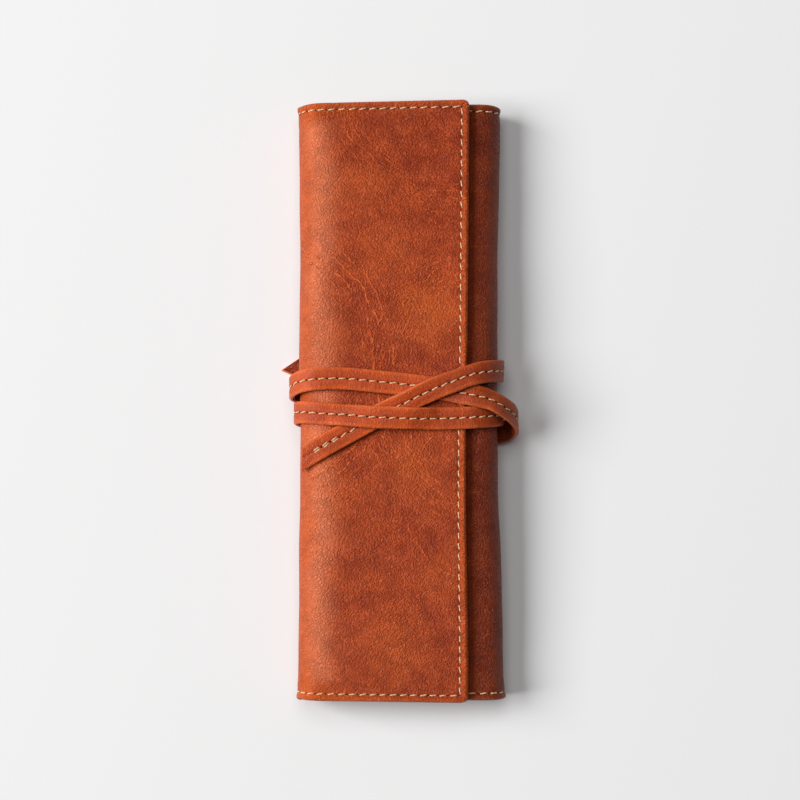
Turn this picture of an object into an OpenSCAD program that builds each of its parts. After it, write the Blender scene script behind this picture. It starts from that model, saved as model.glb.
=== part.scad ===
// Wrap-around leather pencil case: a back panel with a row of pencil channels, a flap that folds
// over from the left, a shorter inner flap from the right, and a long stitched strap wound round.
// X runs across the case, Y along it, Z up from the surface that it lies on.

/* [Case] */
// Length of the closed case, along the pencils
case_length = 210; // [170:1:252]
// Width of the closed case, fold to fold
case_width = 70; // [58:1:84]
// Distance from the right-hand fold to the free edge of the flap
flap_setback = 11.4; // [9:0.1:14]
// Width of the inner flap, from where its fold ends
inner_flap_w = 26; // [16:0.5:26]

/* [Leather] */
// Thickness of the outer leather
leather_t = 1.4; // [1:0.1:1.8]
// Thickness of the lining leather
lining_t = 0.8; // [0.6:0.1:1.1]
// Width of the leather turned in along the free edge of the flap
turned_in_w = 7; // [5:0.5:10]
// Clearance between layers that lie on one another
layer_gap = 0.3; // [0.2:0.05:0.5]

/* [Pencil pocket] */
// Clear width of one pencil channel
channel_w = 8.6; // [7.2:0.1:10.4]
// Clear height of one pencil channel
channel_h = 8.4; // [7:0.1:10.1]
// Thickness of the pocket leather
pocket_t = 0.9; // [0.7:0.1:1.2]
// Width of the sewn strip between two channels
channel_foot = 1.6; // [1.2:0.1:2.4]
// Depth of the channels, from the sewn end to the mouth
pocket_depth = 145; // [110:1:160]

/* [Strap] */
// Width of the strap
strap_w = 7.8; // [6.5:0.1:9.4]
// Thickness of the strap, face and backing together
strap_t = 1.8; // [1.5:0.05:2.2]
// Thickness of the strip that backs the strap
backing_t = 0.6; // [0.5:0.05:0.8]

/* [Stitching] */
// Distance from one stitch to the next
stitch_pitch = 3.55; // [2.8:0.05:4.5]
// Length of thread that shows in one stitch
stitch_len = 2.9; // [2:0.1:3.2]
// Thickness of the thread
thread_w = 0.5; // [0.4:0.05:0.7]
// Distance from a sewn edge to its row of stitches
stitch_margin = 2.6; // [2:0.1:3.5]

/* [Hidden] */

$fn = 64;
crease_gap = 0.9;                               // open seam at each crease, so a panel can turn
wall_t = leather_t + lining_t;
pocket_h = channel_h + pocket_t;
inner_fold_r = (2 * wall_t + pocket_h + layer_gap) / 2;
flap_gap = 0.8;                                 // air between the flap and the inner flap
flap_fold_r = inner_fold_r + (wall_t + flap_gap) / 2;

touch = 0.02;                                   // between pieces that are glued or sewn face to face
thread_h = 0.35;                                // how far a stitch stands up from the leather
stitch_slant = 9;

strap_gap = touch + thread_h + layer_gap;       // the strap passes over the stitches of the case
strap_layer = strap_t + layer_gap;
under_z = strap_gap + strap_t + strap_layer;    // the case lies on two crossing runs of strap
top_z = under_z + 2 * flap_fold_r;
inner_top_z = under_z + 2 * inner_fold_r;
left_x = -case_width / 2 + flap_fold_r;         // where the left-hand fold runs out flat
right_x = case_width / 2 - inner_fold_r;        // where the right-hand fold runs out flat
flap_edge_x = case_width / 2 - flap_setback;
inner_edge_x = right_x - inner_flap_w;
half_l = case_length / 2;
end_row_y = half_l - stitch_margin;

lining_inset = 1.2;                             // the lining stops short of both ends
channel_out_w = channel_w + 2 * pocket_t;
channel_pitch = channel_out_w + channel_foot;
pocket_room = right_x - left_x - 2 * crease_gap - 2;
channels = floor((pocket_room - channel_foot) / channel_pitch);
pocket_w = channels * channel_pitch + channel_foot;
pocket_x = (left_x + right_x) / 2;
pocket_y0 = -half_l + 5;                        // the sewn end of the channels
pocket_end_t = 1;

leather = [0.62, 0.27, 0.16];
spine_leather = [0.82, 0.42, 0.25];
dark_leather = [0.4, 0.18, 0.11];
suede = [0.5, 0.33, 0.22];
thread = [0.9, 0.8, 0.62];

// The strap's route. Each row is a station round the case, the place along the case in strap
// widths, the lift off the case in strap layers, and the lean, where 1 tips the upper edge up by
// one layer. A whole turn is four stations: up the left fold (0 to 1), across the top (1 to 2),
// down the right fold (2 to 3) and back underneath (3 to 4).
strap_route = [
    [0.86, -2.55, -0.6, 0], [1, -2, 0, 0], [1.13, -1.53, 0, 0], [1.3, -0.92, 0, 0],
    [1.44, -0.42, 0.35, 0.7], [1.56, -0.05, 0.72, 1.2], [1.68, 0.32, 1.05, 0.8],
    [1.79, 0.63, 1.1, 0], [1.91, 0.91, 0.87, -0.7], [2, 1.12, 0.57, -1],
    [2.15, 1.31, 0.25, -0.4], [2.35, 1.4, 0, 0], [2.5, 1.44, 0, 0], [2.75, 1.54, 0, 0],
    [3, 1.59, 0, 0], [3.25, 1.3, 0, 0], [3.5, 1, 0, 0], [3.75, 0.7, 0, 0], [4, 0.42, 0.05, 0],
    [4.25, 0.48, 0.3, 0], [4.5, 0.63, 0.75, 0], [4.75, 0.9, 0.4, 0], [5, 1.01, 0.1, 0],
    [5.17, 1, 0, 0], [5.35, 0.89, 0, 0], [5.54, 0.77, 0, 0], [5.7, 0.64, 0, 0],
    [5.85, 0.5, 0, 0], [5.95, 0.36, 0.15, -0.25], [6, 0.3, 0.3, -0.6], [6.17, 0.1, 0.7, -0.85],
    [6.25, -0.12, 1.45, -0.6], [6.375, -0.5, 2.2, 0], [6.5, -0.88, 2.5, 0],
    [6.7, -1.23, 2.1, 0], [6.84, -1.36, 1.4, 0], [6.93, -1.4, 1.05, 0], [7, -1.41, 1, 0],
    [7.25, -1.25, 1, 0], [7.5, -1.05, 1, 0], [7.75, -0.82, 1, 0], [8, -0.64, 0.85, 0],
    [8.25, -0.6, 0.2, 0],
    [8.5, -0.48, 0, 0], [8.75, -0.47, 0, 0], [9, -0.55, 0, 0], [9.07, -0.59, 0.33, -0.6],
    [9.14, -0.62, 0.65, -1], [9.25, -0.67, 1.05, -0.3], [9.37, -0.72, 1.18, 0.3],
    [9.48, -0.74, 1.15, 0.6], [9.6, -0.76, 1.05, 1.1], [9.7, -0.77, 0.6, 0.8], [9.8, -0.77, 0.1, 0],
    [9.95, -0.74, 0, 0], [10.1, -0.69, 0, 0], [10.25, -0.63, 0, 0], [10.5, -0.5, 0, 0],
    [10.75, -0.33, 0.15, 0], [10.9, -0.22, 0.6, 0], [11, -0.12, 1, 0], [11.25, 0.3, 1, 0],
    [11.5, 0.65, 1, 0], [11.75, 1.02, 1, 0], [12, 1.4, 1, 0], [12.12, 1.62, 1, 0],
    [12.22, 1.9, 1, 0]
];
strap_leave_x = flap_edge_x + crease_gap;       // where the strap leaves the flap for the fold
top_span = strap_leave_x - left_x;
under_span = right_x - left_x;
last_turn = 12;
route_steps = 3;
cut_slope = 0.68;                               // how far each end is cut on the slant
cut_fade = 8;                                   // the slant dies out this far from the end
groove_w = 1.1;
groove_d = 0.4;
edge_round = 0.5;

// Ellipse from the top of the flap down to the widest point of the right-hand fold.
droop_a = case_width / 2 - strap_leave_x;
droop_b = 2 * flap_fold_r - inner_fold_r;
function unit(v) = v / norm(v);
function droop_normal(a) = unit([cos(a) / droop_a, sin(a) / droop_b]);
function on_arc(x, r, a) = [x + r * cos(a), under_z + r + r * sin(a), cos(a), sin(a)];

// Point [x, z] on the case that a station stands for, and the outward normal there.
function station(s) =
    let (q = s - 4 * floor(s / 4))
    s < 1 ? [left_x - (1 - s) * top_span, top_z, 0, 1] :
    s > last_turn ? [left_x - (s - last_turn) * under_span, under_z, 0, -1] :
    q < 1 ? on_arc(left_x, flap_fold_r, 270 - 180 * q) :
    q < 2 ? [left_x + (q - 1) * top_span, top_z, 0, 1] :
    q < 2.5 ? let (a = 90 - 180 * (q - 2), n = droop_normal(a))
        [strap_leave_x + droop_a * cos(a), under_z + inner_fold_r + droop_b * sin(a), n[0], n[1]] :
    q < 3 ? on_arc(right_x, inner_fold_r, 90 - 180 * (q - 2)) :
    [right_x - (q - 3) * under_span, under_z, 0, -1];

// Smooth curve through the rows of the route.
function route_row(i) = strap_route[max(0, min(len(strap_route) - 1, i))];
function route_at(i, t) =
    let (a = route_row(i - 1), b = route_row(i), c = route_row(i + 1), d = route_row(i + 2))
    b + t / 2 * ((c - a) + t * ((2 * a - 5 * b + 4 * c - d) + t * (3 * b - 3 * c + d - a)));
function normal_of(r) = let (p = station(r[0])) [p[2], 0, p[3]];
function middle_of(r) =
    let (
        p = station(r[0]), lift = p[3] > -1 ? r[2] : min(1, r[2]),
        h = strap_gap + lift * strap_layer + strap_t / 2
    )
    [p[0] + p[2] * h, r[1] * strap_w, p[1] + p[3] * h];

route_n = (len(strap_route) - 1) * route_steps;
rows = [for (k = [0:route_n])
    let (i = min(floor(k / route_steps), len(strap_route) - 2)) route_at(i, k / route_steps - i)];
middles = [for (r = rows) middle_of(r)];
function heading(k) = unit(middles[min(route_n, k + 1)] - middles[max(0, k - 1)]);

// Frame of one ring: middle, heading, width direction and outward direction.
function ring_frame(k) =
    let (
        t = heading(k), w = unit(cross(normal_of(rows[k]), t)), n = cross(t, w),
        lean = rows[k][3] * asin(strap_layer / strap_w)
    )
    [middles[k], t, w * cos(lean) + n * sin(lean), n * cos(lean) - w * sin(lean)];
frames = [for (k = [0:route_n]) ring_frame(k)];

// Length of strap up to each ring.
function add_up(steps, i = 0, sum = 0) =
    i > len(steps) - 1 ? [sum] : concat([sum], add_up(steps, i + 1, sum + steps[i]));
run_len = add_up([for (k = [1:route_n]) norm(middles[k] - middles[k - 1])]);
strap_len = run_len[route_n];

// How far a ring leans along the strap, so that both ends are cut on the slant.
function slant(k) = cut_slope *
    (max(0, 1 - run_len[k] / cut_fade) - max(0, 1 - (strap_len - run_len[k]) / cut_fade));
function ring(k, section) =
    let (f = frames[k])
    [for (p = section) f[0] + f[1] * (p[0] * slant(k)) + f[2] * p[0] + f[3] * (p[1] - strap_t / 2)];
// A section given as [width, height] points, swept along the strap. Each patch is split along one
// diagonal or the other, so that two sections that meet can agree.
module strap_sweep(section, swap = false) {
    n = len(section);
    points = [for (k = [0:route_n]) each ring(k, section)];
    sides = [for (k = [0:route_n - 1], j = [0:n - 1])
        let (a = k * n + j, b = k * n + (j + 1) % n)
        each swap ? [[a, b, a + n], [b, b + n, a + n]] : [[a, b, b + n], [a, b + n, a + n]]];
    first = [for (j = [n - 1:-1:0]) j];
    last = [for (j = [0:n - 1]) route_n * n + j];
    polyhedron(points = points, faces = concat([first, last], sides), convexity = 10);
}

// A shape drawn in the plane across the case, carried along its length.
module along_case(length) {
    rotate([90, 0, 0]) linear_extrude(height = length, center = true, convexity = 8) children();
}

// Flat panel between two places across the case.
module panel(x0, x1, z0, t, length) {
    translate([x0, -length / 2, z0]) cube([x1 - x0, length, t]);
}

// Half-round layer of a fold, at a depth below its outside, open towards +X when side is -1 and
// towards -X when side is 1.
module fold_layer(x, fold_r, depth, t, side, length) {
    r = fold_r - depth;
    along_case(length) translate([x, under_z + fold_r]) difference() {
        circle(r);
        circle(r - t);
        translate([side > 0 ? -2 * r : 0, -2 * r]) square([2 * r, 4 * r]);
    }
}

module stitch() {
    rotate([0, 0, stitch_slant])
        translate([-stitch_len / 2, -thread_w / 2, 0]) cube([stitch_len, thread_w, thread_h]);
}
// Row of stitches from one point to another along X or Y, standing up in the direction up.
module stitch_row_x(x0, x1, y, z, up = 1) {
    n = floor((x1 - x0 - stitch_len) / stitch_pitch);
    start = (x0 + x1 - n * stitch_pitch) / 2;
    for (i = [0:n])
        translate([start + i * stitch_pitch, y, z]) rotate([up > 0 ? 0 : 180, 0, 0]) stitch();
}
module stitch_row_y(y0, y1, x, z) {
    n = floor((y1 - y0 - stitch_len) / stitch_pitch);
    start = (y0 + y1 - n * stitch_pitch) / 2;
    for (i = [0:n]) translate([x, start + i * stitch_pitch, z]) rotate([0, 0, 90]) stitch();
}
// Stitches round a fold, at both ends of the case.
module fold_stitches(x, r, side) {
    n = floor(PI * r / stitch_pitch) - 1;
    step = 180 / (n + 1);
    for (y = [-end_row_y, end_row_y], i = [0:n])
        translate([x, y, under_z + r])
            rotate([0, side * (i + 0.5) * step, 0]) translate([0, 0, r + touch]) stitch();
}

module back_leather() color(leather)
    panel(left_x + crease_gap, right_x - crease_gap, under_z, leather_t, case_length);
module back_lining() color(suede)
    panel(left_x + crease_gap, right_x - crease_gap, under_z + leather_t + touch,
        lining_t - touch, case_length - 2 * lining_inset);
module back_thread() color(thread)
    for (y = [-end_row_y, end_row_y])
        stitch_row_x(left_x + 2, right_x - 2, y, under_z - touch, -1);

// Outline of one channel, outside or inside, standing on the lining.
module channel_outline(w, h) intersection() {
    translate([-w / 2, 0]) square([w, h]);
    union() {
        translate([-w / 2, 0]) square([w, h - w / 2]);
        translate([0, h - w / 2]) circle(w / 2);
    }
}
module pencil_pocket() color(leather) {
    floor_z = under_z + wall_t + touch;
    first_x = pocket_x - (channels - 1) * channel_pitch / 2;
    translate([0, pocket_y0 + pocket_depth / 2, floor_z]) along_case(pocket_depth) difference() {
        union() {
            translate([pocket_x - pocket_w / 2, 0]) square([pocket_w, pocket_t]);
            for (i = [0:channels - 1]) translate([first_x + i * channel_pitch, 0])
                channel_outline(channel_out_w, pocket_h);
        }
        for (i = [0:channels - 1]) translate([first_x + i * channel_pitch, -1])
            channel_outline(channel_w, channel_h + 1);
    }
    translate([0, pocket_y0 + pocket_end_t / 2, floor_z]) along_case(pocket_end_t)
        for (i = [0:channels - 1]) translate([first_x + i * channel_pitch, 0])
            channel_outline(channel_w + pocket_t, channel_h + pocket_t / 2);
}
module pocket_thread() color(thread) {
    foot_z = under_z + wall_t + touch + pocket_t + touch;
    first_x = pocket_x - channels * channel_pitch / 2;
    for (i = [0:channels])
        stitch_row_y(pocket_y0 + 2, pocket_y0 + pocket_depth - 2, first_x + i * channel_pitch, foot_z);
}

module left_spine_leather() color(spine_leather)
    fold_layer(left_x, flap_fold_r, 0, leather_t, -1, case_length);
module left_spine_lining() color(suede)
    fold_layer(left_x, flap_fold_r, leather_t + touch, lining_t - touch, -1,
        case_length - 2 * lining_inset);
module left_spine_thread() color(thread) fold_stitches(left_x, flap_fold_r, -1);

// The leather turns round the edge of the lining and lies under it as a narrow strip.
module turned_edge(edge_x, side, z_top) {
    r = wall_t / 2;
    translate([edge_x - side * r, z_top - r]) circle(r);
    strip_x = edge_x - side * (r + turned_in_w);
    translate([min(strip_x, edge_x - side * r), z_top - wall_t]) square([turned_in_w, wall_t / 2]);
}
module flap_leather() color(leather) along_case(case_length) {
    translate([left_x + crease_gap, top_z - leather_t])
        square([flap_edge_x - wall_t / 2 - left_x - crease_gap, leather_t]);
    turned_edge(flap_edge_x, 1, top_z);
}
module flap_lining() color(suede)
    panel(left_x + crease_gap, flap_edge_x - wall_t / 2 - turned_in_w - touch, top_z - wall_t,
        lining_t - touch, case_length - 2 * lining_inset);
module flap_thread() color(thread) {
    edge_row_x = flap_edge_x - stitch_margin;
    for (y = [-end_row_y, end_row_y])
        stitch_row_x(left_x + 2, edge_row_x - 1, y, top_z + touch);
    stitch_row_y(-end_row_y - 1.2, end_row_y + 1.2, edge_row_x, top_z + touch);
}

module right_spine_leather() color(dark_leather)
    fold_layer(right_x, inner_fold_r, 0, leather_t, 1, case_length);
module right_spine_lining() color(suede)
    fold_layer(right_x, inner_fold_r, leather_t + touch, lining_t - touch, 1,
        case_length - 2 * lining_inset);
module right_spine_thread() color(thread) fold_stitches(right_x, inner_fold_r, 1);

module inner_flap_leather() color(dark_leather) along_case(case_length) {
    translate([inner_edge_x + wall_t / 2, inner_top_z - leather_t])
        square([right_x - crease_gap - inner_edge_x - wall_t / 2, leather_t]);
    turned_edge(inner_edge_x, -1, inner_top_z);
}
module inner_flap_lining() color(suede)
    panel(inner_edge_x + wall_t / 2 + turned_in_w + touch, right_x - crease_gap,
        inner_top_z - wall_t, lining_t - touch, case_length - 2 * lining_inset);
module inner_flap_thread() color(thread) {
    edge_row_x = inner_edge_x + stitch_margin;
    for (y = [-end_row_y, end_row_y])
        stitch_row_x(edge_row_x + 1, right_x - 2, y, inner_top_z + touch);
    stitch_row_y(-end_row_y - 1.2, end_row_y + 1.2, edge_row_x, inner_top_z + touch);
}

strap_half = strap_w / 2;
face_section = [
    [-strap_half, backing_t + edge_round / 2], [edge_round - strap_half, backing_t],
    [strap_half - edge_round, backing_t], [strap_half, backing_t + edge_round / 2],
    [strap_half, strap_t - edge_round], [strap_half - edge_round, strap_t],
    [groove_w / 2, strap_t], [groove_w / 2 - 0.1, strap_t - groove_d],
    [0.1 - groove_w / 2, strap_t - groove_d], [-groove_w / 2, strap_t],
    [edge_round - strap_half, strap_t], [-strap_half, strap_t - edge_round]
];
backing_section = [
    [edge_round - strap_half, 0], [strap_half - edge_round, 0],
    [strap_half - edge_round, backing_t - touch], [edge_round - strap_half, backing_t - touch]
];
module strap_face() color(spine_leather) strap_sweep(face_section);
module strap_backing() color(dark_leather) strap_sweep(backing_section, swap = true);

// Place on the strap at a given length from its first end, as a matrix.
function ring_before(d) = search_ring(d, 0, route_n);
function search_ring(d, lo, hi) = hi - lo < 2 ? lo :
    let (mid = floor((lo + hi) / 2)) run_len[mid] > d ? search_ring(d, lo, mid) :
        search_ring(d, mid, hi);
function strap_matrix(d) =
    let (
        k = ring_before(d), u = (d - run_len[k]) / (run_len[k + 1] - run_len[k]),
        a = frames[k], b = frames[k + 1], t = unit(b[0] - a[0]),
        w0 = a[2] + (b[2] - a[2]) * u, w = unit(w0 - t * (t * w0)), n = cross(t, w),
        c = a[0] + (b[0] - a[0]) * u + n * (strap_t / 2 - groove_d + touch)
    )
    [[t[0], w[0], n[0], c[0]], [t[1], w[1], n[1], c[1]], [t[2], w[2], n[2], c[2]], [0, 0, 0, 1]];
strap_row_end = 6;                              // plain leather beyond the last stitch
module strap_thread() color(thread)
    for (d = [strap_row_end:stitch_pitch:strap_len - strap_row_end])
        multmatrix(strap_matrix(d)) stitch();

back_leather();
back_lining();
back_thread();
pencil_pocket();
pocket_thread();
left_spine_leather();
left_spine_lining();
left_spine_thread();
flap_leather();
flap_lining();
flap_thread();
right_spine_leather();
right_spine_lining();
right_spine_thread();
inner_flap_leather();
inner_flap_lining();
inner_flap_thread();
strap_face();
strap_backing();
strap_thread();
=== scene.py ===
"""A closed leather pencil case with its strap wound round it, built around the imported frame."""
import math

import bpy
import numpy as np
from bpy.props import FloatProperty, FloatVectorProperty, PointerProperty
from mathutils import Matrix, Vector


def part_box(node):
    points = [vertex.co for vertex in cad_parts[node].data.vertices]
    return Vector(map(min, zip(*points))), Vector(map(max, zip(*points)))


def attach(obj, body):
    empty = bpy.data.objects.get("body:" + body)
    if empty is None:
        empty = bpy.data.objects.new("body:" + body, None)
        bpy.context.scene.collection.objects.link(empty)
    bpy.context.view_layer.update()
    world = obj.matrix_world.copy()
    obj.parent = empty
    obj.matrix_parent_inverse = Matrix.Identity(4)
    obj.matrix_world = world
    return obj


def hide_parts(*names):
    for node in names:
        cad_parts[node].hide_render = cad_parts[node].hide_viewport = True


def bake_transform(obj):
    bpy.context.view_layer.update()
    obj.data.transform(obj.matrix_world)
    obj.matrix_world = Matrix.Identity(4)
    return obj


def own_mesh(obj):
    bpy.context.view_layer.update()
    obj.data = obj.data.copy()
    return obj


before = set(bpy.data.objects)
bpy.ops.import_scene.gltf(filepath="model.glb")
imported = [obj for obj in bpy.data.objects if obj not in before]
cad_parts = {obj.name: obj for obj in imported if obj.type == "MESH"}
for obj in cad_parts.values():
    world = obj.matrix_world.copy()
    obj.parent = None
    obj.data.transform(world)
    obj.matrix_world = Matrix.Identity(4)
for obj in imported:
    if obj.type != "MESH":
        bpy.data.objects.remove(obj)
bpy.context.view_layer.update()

bl_info = {
    "name": "Leather Pencil Case",
    "version": (1, 0, 0),
    "blender": (4, 5, 0),
    "location": "3D View > Sidebar > Pencil Case",
    "description": "Builds a stitched leather pencil case with a wound strap",
    "category": "Add Mesh",
}

MM = 0.001


# ---------------- sizes from the frame

def node_box(node):
    low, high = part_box(node)
    return np.array(low, float) / MM, np.array(high, float) / MM


class CaseShape:
    """The closed case in millimetres, read from the frame's own nodes."""

    def __init__(self):
        back_low, back_high = node_box("back_leather")
        left_low, left_high = node_box("left_spine_leather")
        right_low, right_high = node_box("right_spine_leather")
        flap_low, flap_high = node_box("flap_leather")
        inner_low, inner_high = node_box("inner_flap_leather")
        self.half_length = back_high[1]
        self.under_z = back_low[2]
        self.leather_t = back_high[2] - back_low[2]
        self.top_z = flap_high[2]
        self.inner_top_z = inner_high[2]
        self.left_x = left_high[0]
        self.right_x = right_low[0]
        self.left_r = (left_high[2] - left_low[2]) / 2
        self.right_r = (right_high[2] - right_low[2]) / 2
        self.flap_edge_x = flap_high[0]
        self.inner_edge_x = inner_low[0]
        self.half_width = right_high[0]
        self.wall_t = flap_high[2] - flap_low[2]
        self.crease_gap = back_low[0] - self.left_x
        self.left_arc = math.pi / 2 * self.left_r
        self.right_arc = math.pi / 2 * self.right_r
        self.back_w = self.right_x - self.left_x
        self.flap_w = self.flap_edge_x - self.left_x
        self.inner_w = self.right_x - self.inner_edge_x
        self.pocket_low, self.pocket_high = node_box("pencil_pocket")


shape = CaseShape()


def smooth(t):
    t = np.clip(t, 0, 1)
    return t * t * (3 - 2 * t)


# ---------------- settings

def length_setting(name, about, default, low, high):
    """Length, given in millimetres."""
    return FloatProperty(name=name, description=about, default=default * MM, min=low * MM,
                         max=high * MM, unit="LENGTH")


def colour_setting(name, about, default):
    return FloatVectorProperty(name=name, description=about, subtype="COLOR", default=default,
                               size=3, min=0, max=1)


def power_setting(name, about, default):
    return FloatProperty(name=name, description=about, default=default, min=0, max=500,
                         unit="POWER")


def place_setting(name, about, default):
    return FloatVectorProperty(name=name, description=about, default=default, size=2,
                               subtype="TRANSLATION", unit="LENGTH")


class LeatherSettings(bpy.types.PropertyGroup):
    """Sizes and colours of the leather."""
    hem_width: length_setting("Hem", "Width of the leather turned in along the edges", 7, 4, 10)
    end_droop: length_setting("End droop", "How far both ends settle towards the table",
                              2.6, 0, 4)
    grain: length_setting("Grain", "Size of one pebble of the grain", 0.78, 0.5, 2)
    dark: colour_setting("Dark", "Leather in the hollows of the mottling", (0.288, 0.031, 0.008))
    middle: colour_setting("Middle", "Main colour of the leather", (0.41, 0.054, 0.014))
    bright: colour_setting("Bright", "Orange patches where the wax has moved",
                           (0.59, 0.102, 0.020))
    # Tan of leather with the wax taken out, also laid on the hems and strap edges as a painted
    # highlight.
    worn_and_highlit: colour_setting("Worn and highlit", "Orange leather along folds and edges", (0.64, 0.100, 0.008))
    # Painted sheen: stands in for the key lamp's reflection beside the flap's fold; it also
    # lightens the strap's rims, partly rubbing and partly a painted highlight.
    sheen_and_rub_colour: colour_setting("Sheen and rub", "Painted sheen beside the flap's fold, and pale strap rims",
                              (0.88, 0.245, 0.115))
    lining: colour_setting("Lining", "Suede side of the lining", (0.19, 0.085, 0.04))


class StitchSettings(bpy.types.PropertyGroup):
    """Sizes and colour of the stitching."""
    pitch: length_setting("Pitch", "From one stitch to the next", 3.55, 2.5, 5)
    length: length_setting("Length", "Thread that shows in one stitch", 2.75, 1.5, 4)
    thickness: length_setting("Thread", "Thickness of the thread", 0.46, 0.4, 1)
    margin: length_setting("Margin", "From a sewn edge to its row of stitches", 2.6, 1.5, 4)
    slant: FloatProperty(
        name="Slant", description="Turn of each stitch against its row",
        default=math.radians(9), min=0, max=math.radians(25), subtype="ANGLE")
    colour: colour_setting("Colour", "Cream thread", (0.86, 0.58, 0.32))


class StrapSettings(bpy.types.PropertyGroup):
    """Sizes of the strap."""
    width: length_setting("Width", "Width of the strap", 7.8, 6, 10)
    thickness: length_setting("Thickness", "Face and backing together", 1.8, 1.4, 2.4)
    backing: length_setting("Backing", "Thickness of the strip behind the face", 0.6, 0.4, 1)


class StageSettings(bpy.types.PropertyGroup):
    """Camera, lamps and floor."""
    camera_distance: length_setting("Camera distance", "From the camera to the flap",
                                    620, 300, 2000)
    camera_place: place_setting(
        "Camera place", "Where the camera hangs, across and along the case", (0.0002, -0.035))
    view_middle: place_setting(
        "View middle", "Point of the flap in the middle of the picture", (0.00017, 0.0005))
    view_width: length_setting("View width", "Width that the picture takes in at the flap",
                               278.2, 100, 1000)
    key_power: power_setting("Key", "Power of the large lamp on the left", 190)
    overhead_power: power_setting(
        "Overhead", "Power of the large lamp above and behind the case", 52)
    lamp_distance: length_setting("Lamp distance", "From either lamp to the case",
                                  4000, 1000, 8000)
    fill: FloatProperty(
        name="Fill", description="Strength of the light from all round",
        default=0.06, min=0, max=3)
    floor: colour_setting("Floor", "Colour of the floor", (0.83, 0.83, 0.83))


# ---------------- the shape of the case

def outline(u):
    """Point and outward normal across the case for a distance u along the outside of the leather.

    u is 0 at the widest point of the left fold, grows over the top to the free edge of the flap,
    and falls under the back, round the right fold and on to the free edge of the inner flap.
    """
    u = np.asarray(u, float)
    s = shape
    down = -u - s.left_arc
    right = down - s.back_w
    inner = right - 2 * s.right_arc
    angle = np.where(
        u >= -s.left_arc,
        math.pi - np.clip(u, -s.left_arc, s.left_arc) / s.left_r,
        np.clip(right, 0, 2 * s.right_arc) / s.right_r - math.pi / 2)
    on_left = u >= -s.left_arc
    radius = np.where(on_left, s.left_r, s.right_r)
    centre = np.where(on_left, s.left_x, s.right_x)
    x = centre + radius * np.cos(angle)
    z = s.under_z + radius + radius * np.sin(angle)
    x = x + np.where(u > s.left_arc, u - s.left_arc, 0)
    x = x - np.where((down > 0) & (right < 0), s.back_w - down, 0)
    x = x - np.where(inner > 0, inner, 0)
    return x, z, np.cos(angle), np.sin(angle)


def unevenness(u, y):
    """Slow rise and fall of hand-worked leather, in millimetres."""
    return (
        0.16 * np.sin(u / 7.5 + y / 21 + 1.0) + 0.14 * np.sin(y / 11 - u / 13 + 0.3)
        + 0.08 * np.sin(u / 3.9 - y / 8.5 + 2.2) + 0.06 * np.sin(y / 4.7 + u / 6.1))


def settled(points, part="case"):
    """Moves points of the plain case to where the soft leather settles; points is (n, 3) in mm."""
    x, y, z = points[:, 0].copy(), points[:, 1].copy(), points[:, 2].copy()
    leather = bpy.context.scene.case_leather
    height = np.clip((z - shape.under_z) / (shape.top_z - shape.under_z), 0, 1)
    along = y / shape.half_length
    droop = leather.end_droop / MM
    z -= droop * smooth((np.abs(y) - 25) / 80)
    # The strap draws the case in at the waist.
    waist = np.exp(-((y + 1) / 15) ** 2)
    z -= 0.45 * waist * height
    right = smooth((x - 12) / 22)
    left = smooth((-x - 12) / 22)
    x -= 0.5 * waist * right - 0.35 * waist * left
    # Both sides spread towards the ends, the lower right one most.
    x += right * (2.4 * smooth((-along - 0.25) / 0.7) + 0.5 * smooth((along - 0.35) / 0.5) - 0.2)
    x -= left * (0.7 * smooth((-along - 0.3) / 0.6) + 0.35 * smooth((along - 0.5) / 0.4) + 0.2)
    if part == "flap":
        # The flap's free edge runs a little askew, and its corners reach past the case.
        x += (0.85 * along + 0.1 * np.sin(along * 5)) * smooth((x - 5) / 15)
        reach = np.where(y > 0, 1.2, 0.7) * (x - shape.left_x) / shape.flap_w - 0.4
        y += np.sign(y) * smooth(np.abs(along)) * reach
    elif part == "case":
        # The ends of the right side draw in under the flap.
        y -= 0.3 * np.sign(y) * smooth(np.abs(along)) * smooth((x - 15) / 8)
    return np.stack([x, y, z], axis=1)


def round_corners(u, y, radius=2.4):
    """Draws the four free corners of the leather in from a square to a quarter circle."""
    flap_end = shape.left_arc + shape.flap_w
    inner_end = -(shape.left_arc + shape.back_w + 2 * shape.right_arc + shape.inner_w)
    middle, reach = (flap_end + inner_end) / 2, (flap_end - inner_end) / 2
    p = np.clip((np.abs(u - middle) - reach) / radius + 1, 0, 1)
    q = np.clip((np.abs(y) - shape.half_length) / radius + 1, 0, 1)
    inward_u = radius * p * (1 - np.sqrt(1 - q * q / 2))
    inward_y = radius * q * (1 - np.sqrt(1 - p * p / 2))
    return u - np.sign(u - middle) * inward_u, y - np.sign(y) * inward_y


def leather_point(u, y, depth, part):
    """Point in the leather at a distance across, a place along and a depth below the outside."""
    out = surface_relief(u, y) - depth
    u, y = round_corners(u, y)
    x, z, nx, nz = outline(u)
    return settled(np.stack([x + nx * out, y, z + nz * out], axis=1), part)


def edge_distance(u, y):
    """Distance in mm from the nearest sewn edge of the leather."""
    d = shape.half_length - np.abs(y)
    flap_end = shape.left_arc + shape.flap_w
    inner_end = -(shape.left_arc + shape.back_w + 2 * shape.right_arc + shape.inner_w)
    return np.minimum(d, np.minimum(flap_end - u, u - inner_end))


def surface_relief(u, y):
    """Height of the outside above the plain surface, in mm: hem, seam groove and unevenness."""
    d = edge_distance(u, y)
    margin = bpy.context.scene.case_stitch.margin / MM
    hem = bpy.context.scene.case_leather.hem_width / MM
    rolled = 0.42 * smooth(d / 0.8) * smooth((margin + 0.2 - d) / 1.6)
    groove = -0.2 * np.exp(-((d - margin) / 0.42) ** 2)
    under_hem = 0.16 * smooth((hem + 1 - d) / 2.4)
    return rolled + groove + under_hem + unevenness(u, y) * smooth((d - 1) / 6)


# ---------------- mesh helpers

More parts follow.
